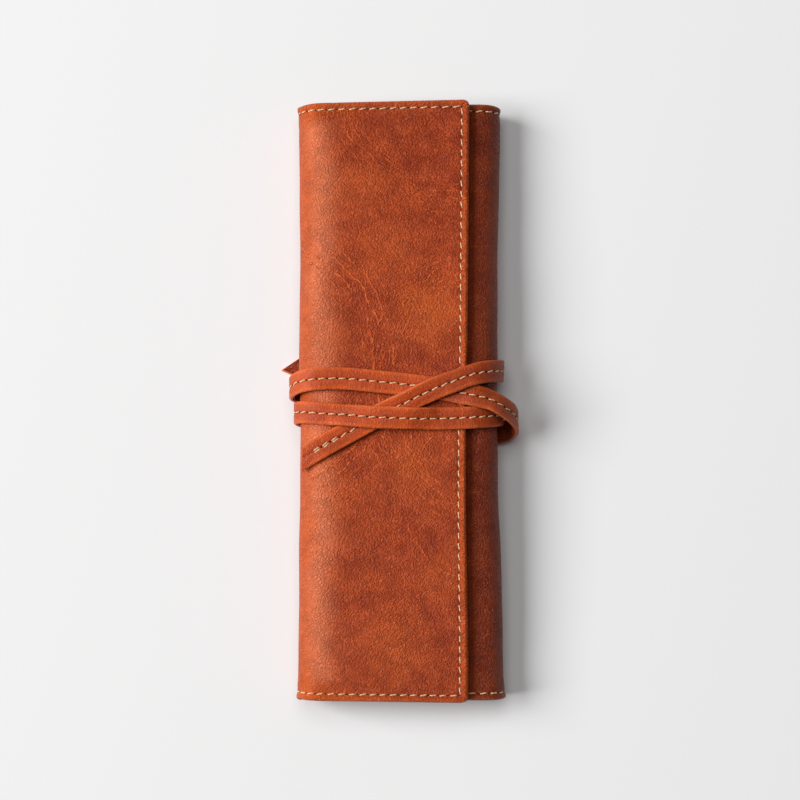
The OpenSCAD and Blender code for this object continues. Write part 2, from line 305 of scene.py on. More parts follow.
def new_object(name, points, faces, material, attributes):
    """Object from points in millimetres, at the origin, with smooth faces."""
    mesh = bpy.data.meshes.new(name)
    mesh.from_pydata((np.asarray(points) * MM).tolist(), [], faces)
    mesh.polygons.foreach_set("use_smooth", [True] * len(mesh.polygons))
    for key, values in attributes.items():
        values = np.asarray(values, np.float32)
        kind = "FLOAT_VECTOR" if values.ndim == 2 else "FLOAT"
        attribute = mesh.attributes.new(key, kind, "POINT")
        attribute.data.foreach_set("vector" if values.ndim == 2 else "value", values.ravel())
    mesh.update()
    mesh.materials.append(material)
    piece = bpy.data.objects.new(name, mesh)
    bpy.context.scene.collection.objects.link(piece)
    return piece


def grid_faces(nu, nv, start=0, flip=False):
    """Quads of a grid whose points run along v first."""
    faces = []
    for i in range(nu - 1):
        for j in range(nv - 1):
            a = start + i * nv + j
            quad = (a, a + nv, a + nv + 1, a + 1)
            faces.append(quad[::-1] if flip else quad)
    return faces


def border(nu, nv):
    """Indices round the edge of a grid, in order."""
    first = [i * nv for i in range(nu)]
    far = [(nu - 1) * nv + j for j in range(1, nv)]
    back = [i * nv + nv - 1 for i in range(nu - 2, -1, -1)]
    home = [j for j in range(nv - 2, 0, -1)]
    return first + far + back + home


def closed_sheet(name, outer, inner, nu, nv, material, attributes):
    """Sheet with an outside, an inside and a rim between them."""
    count = nu * nv
    points = np.concatenate([outer, inner])
    faces = grid_faces(nu, nv) + grid_faces(nu, nv, count, flip=True)
    ring = border(nu, nv)
    for a, b in zip(ring, ring[1:] + ring[:1]):
        faces.append((b, a, a + count, b + count))
    return new_object(name, points, faces, material, attributes)


def spaced(start, end, step, fine_start=0.0, fine_end=0.0):
    """Places from start to end, closer together over a rounded edge at either end."""
    rounding = 1 - np.cos(np.linspace(0, math.pi / 2, 6))
    inner_a, inner_b = start + fine_start, end - fine_end
    count = max(2, int(round((inner_b - inner_a) / step)) + 1)
    parts = [np.linspace(inner_a, inner_b, count)]
    if fine_start:
        parts.insert(0, (start + fine_start * rounding)[:-1])
    if fine_end:
        parts.append((end - fine_end * rounding)[::-1][1:])
    return np.concatenate(parts)


# ---------------- materials

class Shader:
    """A material's node tree, with one short call for each kind of node."""

    def __init__(self, name):
        self.material = bpy.data.materials.new(name)
        self.material.use_nodes = True
        self.tree = self.material.node_tree
        self.surface = self.tree.nodes["Principled BSDF"]

    def node(self, kind, inputs=None, **settings):
        made = self.tree.nodes.new(kind)
        for key, value in settings.items():
            setattr(made, key, value)
        for key, value in (inputs or {}).items():
            self.feed(made.inputs[key], value)
        return made

    def feed(self, socket, value):
        if isinstance(value, bpy.types.NodeSocket):
            self.tree.links.new(value, socket)
        elif hasattr(socket.default_value, "__len__") and len(socket.default_value) == 4:
            socket.default_value = (*value[:3], 1)
        else:
            socket.default_value = value

    def attribute(self, name, output="Vector"):
        return self.node("ShaderNodeAttribute", attribute_name=name).outputs[output]

    def mapped(self, vector, scale=(1, 1, 1), turn=0.0, shift=(0, 0, 0)):
        return self.node("ShaderNodeMapping", {
            "Vector": vector, "Scale": scale, "Rotation": (0, 0, turn), "Location": shift,
        }).outputs["Vector"]

    def noise(self, vector, scale, detail=2.0, roughness=0.5, distortion=0.0):
        return self.node("ShaderNodeTexNoise", {
            "Vector": vector, "Scale": scale, "Detail": detail, "Roughness": roughness,
            "Distortion": distortion}).outputs["Fac"]

    def cells(self, vector, scale, feature="DISTANCE_TO_EDGE"):
        return self.node("ShaderNodeTexVoronoi", {"Vector": vector, "Scale": scale},
                         feature=feature).outputs["Distance"]

    def range(self, value, low, high, out_low=0.0, out_high=1.0, soft=True):
        return self.node("ShaderNodeMapRange", {
            "Value": value, "From Min": low, "From Max": high, "To Min": out_low,
            "To Max": out_high}, interpolation_type="SMOOTHSTEP" if soft else "LINEAR",
            clamp=True).outputs["Result"]

    def math(self, operation, a, b=0.0):
        made = self.node("ShaderNodeMath", operation=operation)
        self.feed(made.inputs[0], a)
        self.feed(made.inputs[1], b)
        return made.outputs[0]

    def times(self, a, b):
        return self.math("MULTIPLY", a, b)

    def mix(self, factor, a, b, blend="MIX"):
        made = self.node("ShaderNodeMix", data_type="RGBA", blend_type=blend)
        self.feed(made.inputs["Factor"], factor)
        self.feed(made.inputs["A"], a)
        self.feed(made.inputs["B"], b)
        return made.outputs["Result"]

    def bump(self, height, distance, strength=1.0, normal=None):
        inputs = {"Height": height, "Distance": distance, "Strength": strength}
        if normal is not None:
            inputs["Normal"] = normal
        return self.node("ShaderNodeBump", inputs).outputs["Normal"]

    def finish(self, colour, roughness, normal, **constants):
        self.feed(self.surface.inputs["Base Color"], colour)
        self.feed(self.surface.inputs["Roughness"], roughness)
        self.feed(self.surface.inputs["Normal"], normal)
        for key, value in constants.items():
            self.surface.inputs[key.replace("_", " ")].default_value = value
        return self.material


def warped(shader, place, scale, amount):
    """A place pushed about by slow noise, so that a pattern on it wanders."""
    push = shader.node("ShaderNodeTexNoise", {"Vector": place, "Scale": scale, "Detail": 2.0})
    centred = shader.node("ShaderNodeVectorMath", {0: push.outputs["Color"], 1: (0.5, 0.5, 0.5)},
                          operation="SUBTRACT").outputs[0]
    scaled = shader.node("ShaderNodeVectorMath", {0: centred, "Scale": amount},
                         operation="SCALE").outputs[0]
    return shader.node("ShaderNodeVectorMath", {0: place, 1: scaled},
                       operation="ADD").outputs[0]


# Where the wax has been pulled out of the leather by handling: across and along in millimetres
# on the flat leather, how far the patch reaches, and how strong it is.
PULLED = ((50, 30, 15, 1.0), (22, 74, 13, 0.55), (17, -36, 12, 0.8), (44, -22, 12, 0.6),
          (36, 50, 16, 0.5), (36, -86, 16, 0.85), (19, 24, 9, 0.5), (55, -60, 10, 0.35))
# Curved creases: their centre on the flat leather, the nearest and furthest of them, and how
# far apart they are, in millimetres.
CREASED = ((60, 112, 34, 50, 2.4), (-12, 14, 34, 56, 3.4), (82, 6, 36, 60, 2.3),
           (70, -34, 24, 36, 3.0))


def distance_on(shader, place, across, along, stretch=1.0):
    """Distance in metres from a point of the flat leather."""
    offset = shader.mapped(place, (1, 1 / stretch, 0),
                           shift=(-across * MM, -along * MM / stretch, 0))
    return shader.node("ShaderNodeVectorMath", {0: offset}, operation="LENGTH").outputs["Value"]


def pulled_patches(shader, place):
    """1 in the middle of each patch that handling has lightened."""
    total = 0.0
    for across, along, reach, strength in PULLED:
        away = distance_on(shader, place, across, along)
        patch = shader.range(away, reach * MM * 1.25, 0.1 * reach * MM, 0.0, strength)
        total = shader.math("MAXIMUM", total, patch)
    return total


def curved_creases(shader, place):
    """Thin curved lines where the leather has been bent."""
    total = 0.0
    for across, along, near, far, gap in CREASED:
        away = distance_on(shader, place, across, along)
        wander = shader.noise(place, 160, 3, 0.6)
        ripple = shader.math("ADD", away, shader.times(wander, 0.004))
        wave = shader.math("SINE", shader.times(ripple, 2 * math.pi / (gap * MM)))
        line = shader.range(wave, 0.72, 1.0)
        inside = shader.times(shader.range(away, near * MM, (near + 5) * MM),
                              shader.range(away, far * MM, (far - 9) * MM))
        broken = shader.range(shader.noise(place, 110, 2), 0.42, 0.58)
        line = shader.times(shader.times(line, inside), broken)
        total = shader.math("MAXIMUM", total, line)
    return total


def pebbled_grain(shader, place, size):
    """Drawn-out pebbles: 0 in the valleys between them, their fine relief, and 1 where the valley
    lines get painted shade instead of a painted highlight."""
    drawn = warped(shader, warped(shader, place, 260, 0.0014), 1100, 0.0004)
    aslant = shader.mapped(drawn, turn=math.radians(-36))
    pebbles = shader.cells(shader.mapped(aslant, (0.62, 1.15, 1)), 1 / size)
    fine = shader.noise(shader.mapped(aslant, (0.6, 1.25, 1)), 1.25 / size, 2, 0.55)
    deep = shader.range(shader.noise(drawn, 150, 3), 0.34, 0.66)
    return shader.range(pebbles, 0.0, 0.30), fine, deep


def pull_up_leather(name, tone=1.0, patchiness=1.0, seed=0.0, relief=1.0):
    """Waxed leather: red-brown, orange where it has been pulled, tan where rubbing has taken the
    wax out, with a painted highlight on the hems, a painted sheen, painted shade, and painted
    light and shade in the grain's lines.
    """
    settings = bpy.context.scene.case_leather
    shader = Shader(name)
    place = shader.mapped(shader.attribute("flat"), shift=(seed, seed * 0.7, 0))
    wander = warped(shader, place, 60, 0.006)
    # Mottling, from slow clouds to small flecks.
    clouds = shader.noise(wander, 16, 2, 0.5, 0.3)
    patches = shader.noise(wander, 42, 2, 0.4, 0.4)
    flecks = shader.noise(place, 720, 3, 0.6)
    dark, middle, bright, worn_and_highlit = (
        tuple(c * tone for c in colour)
        for colour in (settings.dark, settings.middle, settings.bright, settings.worn_and_highlit))
    colour = shader.mix(shader.range(clouds, 0.26, 0.66, 0.2, 1.0), dark, middle)
    pulled = shader.times(shader.range(patches, 0.42, 0.80), 0.22 * patchiness)
    colour = shader.mix(pulled, colour, bright)
    handled = shader.times(pulled_patches(shader, place),
                           shader.range(patches, 0.25, 0.60, 0.35, 1.0))
    colour = shader.mix(handled, colour, bright)
    colour = shader.mix(shader.times(shader.range(flecks, 0.42, 0.72), 0.22), colour, bright)
    # Tan where rubbing has taken the wax out, with a painted highlight on the hems and strap
    # edges.
    wear = shader.attribute("wear", "Fac")
    rubbed_and_highlit = shader.times(wear, shader.range(patches, 0.2, 0.6, 0.66, 1.0))
    colour = shader.mix(rubbed_and_highlit, colour, worn_and_highlit)
    # Painted sheen beside the left fold, and strap rims lightened partly by rubbing, partly as a
    # painted highlight.
    colour = shader.mix(shader.attribute("sheen_and_rub", "Fac"), colour, settings.sheen_and_rub_colour)
    valley, fine, deep = pebbled_grain(shader, place, settings.grain)
    lines = shader.math("SUBTRACT", 1.0, valley)
    # Painted shade darkens the grain's lines where that mask is high.
    colour = shader.mix(shader.times(shader.times(lines, deep), 0.36), colour,
                        tuple(c * 0.5 for c in dark))
    # Painted highlight lightens the grain's lines elsewhere, like lit raised edges.
    painted_grain_highlight = shader.times(shader.times(lines, 0.42 * relief),
                          shader.math("SUBTRACT", 1.0, deep))
    colour = shader.mix(painted_grain_highlight, colour, bright)
    creases = curved_creases(shader, place)
    colour = shader.mix(shader.times(creases, 0.85), colour,
                        tuple(c * 1.3 for c in bright))
    # Painted shade: darkens the leather towards near black by the amount that each piece carries.
    colour = shader.mix(shader.attribute("shade", "Fac"), colour, (0.006, 0.002, 0.001))
    folds = shader.noise(shader.mapped(wander, (0.45, 1.3, 1), math.radians(20)), 300, 3, 0.6)
    height = shader.math("ADD", shader.times(valley, 0.75), shader.times(fine, 1.5))
    normal = shader.bump(shader.math("ADD", folds, shader.times(creases, 1.1)),
                         0.00028 * relief, 0.9)
    normal = shader.bump(height, 0.00030 * relief, 1.0, normal)
    roughness = shader.range(shader.math("ADD", flecks, shader.times(valley, -0.2)),
                             0.1, 0.7, 0.36, 0.50)
    return shader.finish(colour, roughness, normal, Specular_IOR_Level=0.28)


def suede(name):
    """Brushed flesh side of thin leather."""
    settings = bpy.context.scene.case_leather
    shader = Shader(name)
    place = shader.attribute("flat")
    nap = shader.noise(shader.mapped(place, (1, 0.4, 1), 0.5), 900, 4, 0.7)
    clouds = shader.noise(place, 45, 3, 0.6, 0.5)
    base = settings.lining
    colour = shader.mix(shader.range(clouds, 0.3, 0.7), tuple(c * 0.72 for c in base),
                        tuple(min(1, c * 1.2) for c in base))
    colour = shader.mix(shader.times(nap, 0.5), colour,
                        tuple(min(1, c * 1.7) for c in base))
    return shader.finish(colour, 0.93, shader.bump(nap, 0.0002), Sheen_Weight=0.1,
                         Sheen_Roughness=0.5)


def twisted_thread(name):
    """Waxed thread of two plies."""
    shader = Shader(name)
    place = shader.attribute("along")
    base = bpy.context.scene.case_stitch.colour
    plies = shader.node("ShaderNodeTexWave", {
        "Vector": shader.mapped(place, (1, 0.25, 1)), "Scale": 420.0, "Distortion": 0.4},
        bands_direction="DIAGONAL").outputs["Fac"]
    fibre = shader.noise(place, 3000, 2, 0.6)
    # Painted shade between the two plies: the wave darkens the thread in the grooves of its twist.
    colour = shader.mix(plies, tuple(c * 0.62 for c in base), base)
    colour = shader.mix(shader.times(fibre, 0.35), colour,
                        tuple(min(1, c * 1.25) for c in base))
    return shader.finish(colour, 0.55, shader.bump(plies, 0.00012), Specular_IOR_Level=0.35)


def painted_hole_shade(name):
    """Painted shade of the slit that the awl leaves: a dark lens in place of the shadow inside the
    hole.
    """
    shader = Shader(name)
    speck = shader.noise(shader.attribute("along"), 2500, 2)
    colour = shader.mix(speck, (0.012, 0.003, 0.001), (0.035, 0.009, 0.004))
    return shader.finish(colour, 0.8, shader.bump(speck, 0.00005), Specular_IOR_Level=0.1)


def matt_floor(name, colour):
    shader = Shader(name)
    place = shader.node("ShaderNodeTexCoord").outputs["Object"]
    soft = shader.noise(place, 900, 2)
    tint = shader.mix(shader.times(soft, 0.02), colour, (0.7, 0.7, 0.7))
    return shader.finish(tint, 0.95, shader.bump(soft, 0.00002), Specular_IOR_Level=0.0)


MATERIALS = {}


def material(name):
    """Each finish is made once and shared."""
    makers = {
        "case leather": lambda n: pull_up_leather(n),
        "strap leather": lambda n: pull_up_leather(n, 1.16, 0.9, 0.31, 0.5),
        "pocket leather": lambda n: pull_up_leather(n, 0.85, 0.5, 0.77),
        "suede lining": suede,
        "cream thread": twisted_thread,
        "painted hole shade": painted_hole_shade,
    }
    if name not in MATERIALS:
        MATERIALS[name] = makers[name](name)
    return MATERIALS[name]


# ---------------- the leather

def stretches():
    """Where each stretch of the outer leather starts and ends across."""
    s = shape
    under = -s.left_arc
    far = under - s.back_w
    side = far - s.right_arc
    inner = side - s.right_arc - s.inner_w
    return {
        "flap": (0.0, s.left_arc + s.flap_w),
        "left_fold": (under, 0.0),
        "back": (far, under),
        "right_fold": (side, far),
        "inner_flap": (inner, side),
    }


def part_of(stretch):
    """The flap settles by itself, every other stretch with the case."""
    return "flap" if stretch == "flap" else "case"


def node_of(stretch, kind):
    """Name of the frame's node for one layer of a stretch: leather, lining or thread."""
    return f"{stretch.replace('fold', 'spine')}_{kind}"


def follow(piece, stretch):
    """The back rides on its body; every other stretch is baked in place."""
    if stretch == "back":
        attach(piece, "back")
        return
    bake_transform(piece)


def sheet_grid(us, ys):
    u, y = np.meshgrid(us, ys, indexing="ij")
    return u.ravel(), y.ravel()


def wear_and_highlight_of(u, y):
    """How far the wax is taken out of the leather on the folds; along the hems this is rubbing,
    with a painted highlight where the rolled edge catches the key lamp.
    """
    d = edge_distance(u, y)
    left = np.exp(-((u - 6.5) / 8.5) ** 2)
    right_mid = -(shape.left_arc + shape.back_w + shape.right_arc)
    right = 0.35 * np.exp(-((u - right_mid) / 4) ** 2)
    # Along the hems: rubbing, with a painted highlight on the rolled edge that catches the key
    # lamp.
    hem = 0.75 * np.exp(-((d - 0.9) / 1.0) ** 2)
    return np.clip(0.85 * left + right + hem, 0, 1)


def rim_drop(d, radius):
    """How far a rounded edge falls away from the flat, at a distance d from the edge."""
    t = np.clip((radius - d) / radius, 0, 1)
    return radius * (1 - np.sqrt(np.clip(1 - t * t, 0, 1)))


def leather_stretch(name, stretch, step=0.62):
    """One stretch of the outer leather, its sewn edges turned in and rounded."""
    u0, u1 = stretches()[stretch]
    radius = shape.wall_t / 2
    part = part_of(stretch)
    fine_end = radius if stretch == "flap" else 0
    fine_start = radius if stretch == "inner_flap" else 0
    us = spaced(u0, u1, step, fine_start, fine_end)
    ys = spaced(-shape.half_length, shape.half_length, step * 1.25, radius, radius)
    u, y = sheet_grid(us, ys)
    d = edge_distance(u, y)
    hem = bpy.context.scene.case_leather.hem_width / MM
    drop = rim_drop(d, radius)
    thick = shape.leather_t + (shape.wall_t - shape.leather_t) * smooth((hem - d) / 0.8 + 0.5)
    outer = leather_point(u, y, drop, part)
    inner = leather_point(u, y, thick - drop, part)
    nudge = 0.05
    across = leather_point(u + nudge, y, 0, part) - leather_point(u - nudge, y, 0, part)
    along = leather_point(u, y + nudge, 0, part) - leather_point(u, y - nudge, 0, part)
    flat = np.stack([u, y, 0 * u], axis=1) * MM
    flat = np.concatenate([flat, flat + [0, 0, 0.05]])
    wear = np.concatenate([wear_and_highlight_of(u, y), 0 * u])
    # Painted shade: the right fold and inner flap are darkened, standing in for the shadow of the
    # flap's edge and their turn away from the key lamp.
    shade = 0.48 * smooth((-u - shape.left_arc - shape.back_w) / 8)
    # Painted sheen: a pale band beside the left fold, ragged along the case, where the key lamp's
    # reflection falls.
    ragged = 1.2 * np.sin(y / 9) + 0.8 * np.sin(y / 4.1 + 1)
    sheen_and_rub = 0.7 * np.exp(-((u - 12.6 - 0.6 * ragged) / 4.6) ** 2) * smooth((d - 4) / 6)
    piece = closed_sheet(name, outer, inner, len(us), len(ys), material("case leather"),
                         {"flat": flat, "wear": wear, "shade": np.concatenate([shade, shade]),
                          "sheen_and_rub": np.concatenate([sheen_and_rub, 0 * sheen_and_rub])})
    shade_like_whole(piece, across, along, drop)
    return piece


def shade_like_whole(piece, across, along, drop):
    """Gives the outside the shading of the unbroken leather, so that joins don't show."""
    normal = np.cross(across, along)
    normal /= np.linalg.norm(normal, axis=1)[:, None]
    mesh = piece.data
    own = np.zeros(len(mesh.vertices) * 3, np.float32)
    mesh.vertices.foreach_get("normal", own)
    own = own.reshape(-1, 3)
    count = len(normal)
    flip = np.sign((normal * own[:count]).sum(axis=1))
    normal *= flip[:, None]
    plain = drop < 1e-6
    own[:count][plain] = normal[plain]
    mesh.normals_split_custom_set_from_vertices(own.tolist())


class PENCILCASE_OT_outer_leather(bpy.types.Operator):
    """Outer leather of the flap, back, folds and inner flap"""
    bl_idname = "pencil_case.outer_leather"
    bl_label = "Outer leather"

    def execute(self, context):
        for stretch, (u0, u1) in stretches().items():
            piece = leather_stretch(f"{stretch}_outer_leather", stretch)
            follow(piece, stretch)
            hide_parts(node_of(stretch, "leather"))
        return {"FINISHED"}


class PENCILCASE_OT_lining(bpy.types.Operator):
    """Suede lining inside the case"""
    bl_idname = "pencil_case.lining"
    bl_label = "Lining"

    def execute(self, context):
        hem = context.scene.case_leather.hem_width / MM
        for stretch, (u0, u1) in stretches().items():
            if stretch == "flap":
                u1 -= hem
            if stretch == "inner_flap":
                u0 += hem
            part = part_of(stretch)
            us = spaced(u0, u1, 1.2)
            reach = shape.half_length - hem
            ys = spaced(-reach, reach, 2.0)
            u, y = sheet_grid(us, ys)
            outer = leather_point(u, y, shape.leather_t + 0.03, part)
            inner = leather_point(u, y, shape.wall_t, part)
            flat = np.stack([u, y, 0 * u + 0.3], axis=1) * MM
            piece = closed_sheet(f"{stretch}_suede_lining", outer, inner, len(us), len(ys),
                                 material("suede lining"), {"flat": np.concatenate([flat, flat])})
            follow(piece, stretch)
            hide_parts(node_of(stretch, "lining"))
        return {"FINISHED"}


# ---------------- the pencil pocket

CHANNELS = 4
CHANNEL_PITCH = 12.0
CHANNEL_WIDTH = 8.6
CHANNEL_HEIGHT = 8.4
POCKET_WALL = 0.9
POCKET_GAP = 0.05
FOOT = POCKET_WALL / 2
# From the sewn end, how far each channel takes to open to its full height.
PINCH = 9


def channel_path():
    """Middle line of the pocket leather across one channel, foot to foot, as (x, z) points."""
    half = CHANNEL_PITCH / 2
    radius = CHANNEL_WIDTH / 2 + FOOT
    knee = CHANNEL_HEIGHT - CHANNEL_WIDTH / 2
    toe = [(radius + FOOT - FOOT * math.sin(a), POCKET_WALL - FOOT * math.cos(a))
           for a in np.linspace(math.pi / 2, 0.2, 5)]
    wall = [(radius, z) for z in np.linspace(knee, 1.4, 4)]
    right = wall + toe + [(radius + FOOT, FOOT), (half, FOOT)]
    arch = [(-radius * math.cos(a), knee + radius * math.sin(a))
            for a in np.linspace(0.12, math.pi - 0.12, 26)]
    left = [(-x, z) for x, z in right[::-1]]
    points = left + arch + right
    return points


def pocket_path():
    """The whole pocket across, every channel and the two outer feet."""
    middle = (shape.pocket_low[0] + shape.pocket_high[0]) / 2
    path = []
    for i in range(CHANNELS):
        x0 = middle + (i - (CHANNELS - 1) / 2) * CHANNEL_PITCH
        path += [(x0 + x, z) for x, z in channel_path()][(0 if i == 0 else 1):]
    path[0] = (shape.pocket_low[0], path[0][1])
    path[-1] = (shape.pocket_high[0], path[-1][1])
    return np.array(path)


class PENCILCASE_OT_pocket(bpy.types.Operator):
    """Sewn pencil channels on the lining"""
    bl_idname = "pencil_case.pocket"
    bl_label = "Pencil pocket"

    def execute(self, context):
        path = pocket_path()
        length = np.concatenate([[0], np.cumsum(np.linalg.norm(np.diff(path, axis=0), axis=1))])
        tangent = np.gradient(path, axis=0)
        tangent /= np.linalg.norm(tangent, axis=1)[:, None]
        normal = np.stack([-tangent[:, 1], tangent[:, 0]], axis=1)
        y0, y1 = shape.pocket_low[1], shape.pocket_high[1]
        ys = np.concatenate([np.linspace(y0, y0 + PINCH, 14),
                             np.linspace(y0 + PINCH + 2, y1, 50)])
        floor_z = shape.under_z + shape.wall_t + POCKET_GAP
        i, y = sheet_grid(np.arange(len(path)), ys)
        i = i.astype(int)
        pinch = 0.12 + 0.88 * smooth((y - y0) / PINCH)
        points = []
        for side in (1, -1):
            x = path[i, 0] + side * normal[i, 0] * POCKET_WALL / 2
            z = (path[i, 1] - FOOT) * pinch + FOOT + side * normal[i, 1] * POCKET_WALL / 2
            points.append(settled(np.stack([x, y, floor_z + np.maximum(z, 0)], axis=1)))
        flat = np.stack([length[i], y, 0 * y], axis=1) * MM
        wear = np.tile(0.25 * smooth((path[i, 1] - 6) / 3), 2)
        piece = closed_sheet("pencil_channels", points[0], points[1], len(path), len(ys),
                             material("pocket leather"),
                             {"flat": np.concatenate([flat, flat]), "wear": wear})
        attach(piece, "back")
        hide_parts("pencil_pocket")
        return {"FINISHED"}


# ---------------- stitches

def modelled_mesh(pattern):
    """Points and faces of a modelled object, which is then removed."""
    mesh = pattern.data
    points = np.zeros(len(mesh.vertices) * 3)
    mesh.vertices.foreach_get("co", points)
    faces = [tuple(p.vertices) for p in mesh.polygons]
    bpy.data.objects.remove(pattern)
    bpy.data.meshes.remove(mesh)
    return points.reshape(-1, 3), faces


def model_stitch():
    """One stitch about the origin along X, in millimetres: a thread that dips into its holes."""
    settings = bpy.context.scene.case_stitch
    bpy.ops.object.select_all(action="DESELECT")
    bpy.ops.mesh.primitive_cylinder_add(
        vertices=8, radius=0.5, depth=1.0, end_fill_type="TRIFAN", rotation=(0, math.pi / 2, 0))
    pattern = bpy.context.object
    bpy.ops.object.transform_apply(location=True, rotation=True, scale=True)
    bpy.ops.object.mode_set(mode="EDIT")
    bpy.ops.mesh.select_all(action="SELECT")
    for cut in (-0.36, -0.22, 0.0, 0.22, 0.36):
        bpy.ops.mesh.select_all(action="SELECT")
        bpy.ops.mesh.bisect(plane_co=(cut, 0, 0), plane_no=(1, 0, 0))
    bpy.ops.object.mode_set(mode="OBJECT")
    points, faces = modelled_mesh(pattern)
    ends = np.abs(points[:, 0]) * 2
    full = settings.thickness / MM
    taper = 1 - 0.45 * ends ** 4
    points[:, 1] *= full * taper
    points[:, 2] *= full * 0.8 * taper
    points[:, 2] += 0.2 - 0.42 * ends ** 4
    points[:, 0] *= settings.length / MM
    return points, faces


def model_hole():
    """One needle slit about the origin: a low lens, in millimetres."""
    bpy.ops.object.select_all(action="DESELECT")
    bpy.ops.mesh.primitive_uv_sphere_add(segments=10, ring_count=6, radius=1)
    pattern = bpy.context.object
    bpy.ops.object.mode_set(mode="EDIT")
    bpy.ops.mesh.select_all(action="SELECT")
    bpy.ops.transform.resize(value=(0.3, 0.52, 0.12))
    bpy.ops.object.mode_set(mode="OBJECT")
    return modelled_mesh(pattern)


def placed_copies(name, pattern, places, finish, jitter=0.0):
    """One mesh that holds a copy of the pattern at each place.

    A place is (origin, along, side, out), each a vector; jitter turns each copy a little.
    """
    base, faces = pattern
    points, quads, along = [], [], []
    random = np.random.default_rng(len(name) * 7 + 3)
    for count, (origin, axis, side, out) in enumerate(places):
        turn = jitter * random.normal()
        x_axis = axis * math.cos(turn) + side * math.sin(turn)
        y_axis = side * math.cos(turn) - axis * math.sin(turn)
        points.append(origin + base[:, :1] * x_axis + base[:, 1:2] * y_axis
                      + base[:, 2:] * out)
        start = count * len(base)
        quads += [tuple(i + start for i in f) for f in faces]
        along.append(base * MM + [0.01 * count, 0, 0])
    return new_object(name, np.concatenate(points), quads, material(finish),
                      {"along": np.concatenate(along)})


def turned(axis, side, angle):
    return (axis * math.cos(angle) + side * math.sin(angle),
            side * math.cos(angle) - axis * math.sin(angle))


def one_point(u, y, depth, part):
    return leather_point(np.array([u]), np.array([y]), depth, part)[0]


def sewn_rows(stretch, depth=0.0):
    """Places of the stitches and of the needle slits on one stretch of the leather: on the
    outside, or at a depth on the inside, facing in."""
    settings = bpy.context.scene.case_stitch
    pitch, margin = settings.pitch / MM, settings.margin / MM
    u0, u1 = stretches()[stretch]
    part = part_of(stretch)
    reach = shape.half_length - margin
    ends = (u0 + (margin if stretch == "inner_flap" else 0),
            u1 - (margin if stretch == "flap" else 0))
    rows = []
    # Rows are counted from one end of the whole seam, so they run on over the folds.
    seam_start = stretches()["inner_flap"][0] + margin
    first = math.ceil((ends[0] - seam_start) / pitch - 0.5)
    last = math.floor((ends[1] - seam_start) / pitch - 0.5)
    across = [(seam_start + (k + 0.5) * pitch) for k in range(first, last + 1)]
    across = [u for u in across if ends[0] <= u < ends[1]]
    for y in (-reach, reach):
        rows += [(u, y, 1, 0) for u in across]
    if stretch in ("flap", "inner_flap"):
        u = ends[1] if stretch == "flap" else ends[0]
        count = int(2 * reach / pitch)
        step = 2 * reach / count
        rows += [(u, -reach + (k + 0.5) * step, 0, 1) for k in range(count)]
    stitches, slits = [], []
    # Steps either way that give each stitch its directions along and across the seam.
    ahead, aside = 0.5, 0.3
    for u, y, du, dy in rows:
        origin = one_point(u, y, depth, part)
        axis = (one_point(u + du * ahead, y + dy * ahead, depth, part)
                - one_point(u - du * ahead, y - dy * ahead, depth, part))
        axis /= np.linalg.norm(axis)
        across_axis = (one_point(u - dy * aside, y + du * aside, depth, part)
                       - one_point(u + dy * aside, y - du * aside, depth, part))
        out = np.cross(axis, across_axis)
        out /= np.linalg.norm(out)
        nx, nz = outline(np.array([u]))[2:]
        faces_out = out[0] * nx[0] + out[2] * nz[0] > 0
        if faces_out == (depth > 0):
            out = -out
        side = np.cross(out, axis)
        a, b = turned(axis, side, settings.slant)
        stitches.append((origin, a, b, out))
        hole = one_point(u + du * pitch / 2, y + dy * pitch / 2, depth, part)
        a, b = turned(axis, side, settings.slant + 0.6)
        slits.append((hole, a, b, out))
    return stitches, slits


class PENCILCASE_OT_case_thread(bpy.types.Operator):
    """Stitching round the edges of the case"""
    bl_idname = "pencil_case.case_thread"
    bl_label = "Edge stitching"

    def execute(self, context):
        stitch, slit = model_stitch(), model_hole()
        for stretch in stretches():
            for face, depth in (("outer", 0.0), ("inner", shape.wall_t)):
                stitches, slits = sewn_rows(stretch, depth)
                thread = placed_copies(f"{stretch}_{face}_stitches", stitch, stitches,
                                       "cream thread", 0.05)
                # The slits are dark lenses: painted shade of the awl holes.
                holes = placed_copies(f"{stretch}_{face}_needle_slits", slit, slits,
                                      "painted hole shade", 0.1)
                for piece in (thread, holes):
                    follow(piece, stretch)
                if depth == 0:
                    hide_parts(node_of(stretch, "thread"))
        return {"FINISHED"}


class PENCILCASE_OT_pocket_thread(bpy.types.Operator):
    """Stitching between the pencil channels"""
    bl_idname = "pencil_case.pocket_thread"
    bl_label = "Pocket stitching"

    def execute(self, context):
        pitch = context.scene.case_stitch.pitch / MM
        middle = (shape.pocket_low[0] + shape.pocket_high[0]) / 2
        z = shape.under_z + shape.wall_t + POCKET_GAP + POCKET_WALL + 0.02
        places = []
        for row in range(CHANNELS + 1):
            x = middle + (row - CHANNELS / 2) * CHANNEL_PITCH
            for y in np.arange(shape.pocket_low[1] + 3, shape.pocket_high[1] - 2, pitch):
                origin = settled(np.array([[x, y, z]]))[0]
                a, b = turned(np.array([0.0, 1, 0]), np.array([-1.0, 0, 0]), 0.1)
                places.append((origin, a, b, np.array([0.0, 0, 1])))
        piece = placed_copies("pocket_stitches", model_stitch(), places, "cream thread", 0.05)
        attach(piece, "back")
        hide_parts("pocket_thread")
        return {"FINISHED"}


# ---------------- the strap

